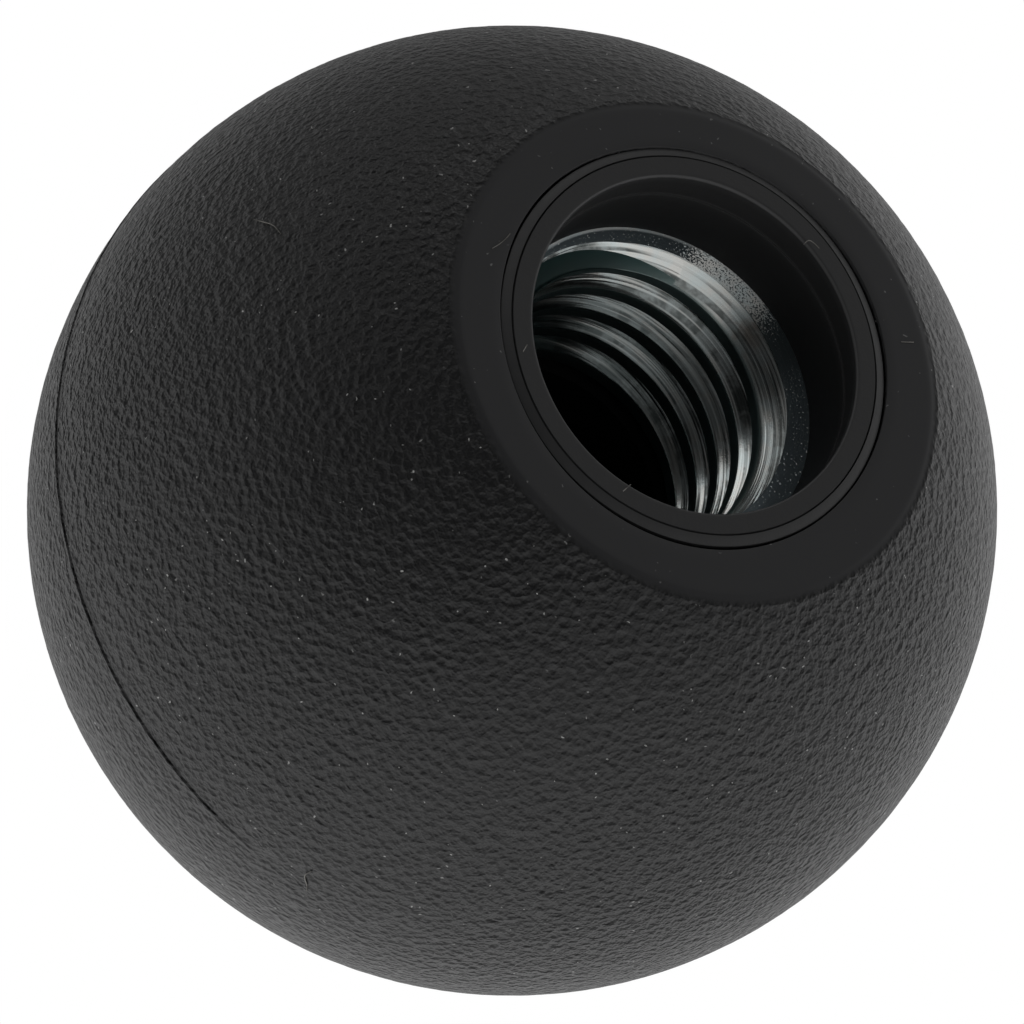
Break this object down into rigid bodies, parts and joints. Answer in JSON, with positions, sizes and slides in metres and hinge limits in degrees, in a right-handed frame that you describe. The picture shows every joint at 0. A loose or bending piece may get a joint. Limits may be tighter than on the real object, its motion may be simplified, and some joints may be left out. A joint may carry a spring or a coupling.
{
  "type": "ball knob",
  "caption": "Round grip for the end of a lever: a soft grained ball moulded over a hard core, with a steel threaded bush set deep in its mouth.",
  "frame": {"origin": "centre of the rim round the mouth, in the plane of the rim, where the lever's shoulder meets it", "axes": "+Z along the bore, from the mouth to the crown of the ball; the knob stands on its rim"},
  "size_m": [0.035, 0.035, 0.0326],
  "materials": {
    "soft_cover": "fine grain, matt; the flat smooth and satin",
    "hard_core": "smooth satin",
    "zinc_steel": "blue zinc plate over turned and tapped steel"
  },
  "bodies": {
    "root": {"ball_cover": "soft_cover", "core": "hard_core", "threaded_bush": "zinc_steel"}
  },
  "joints": []
}
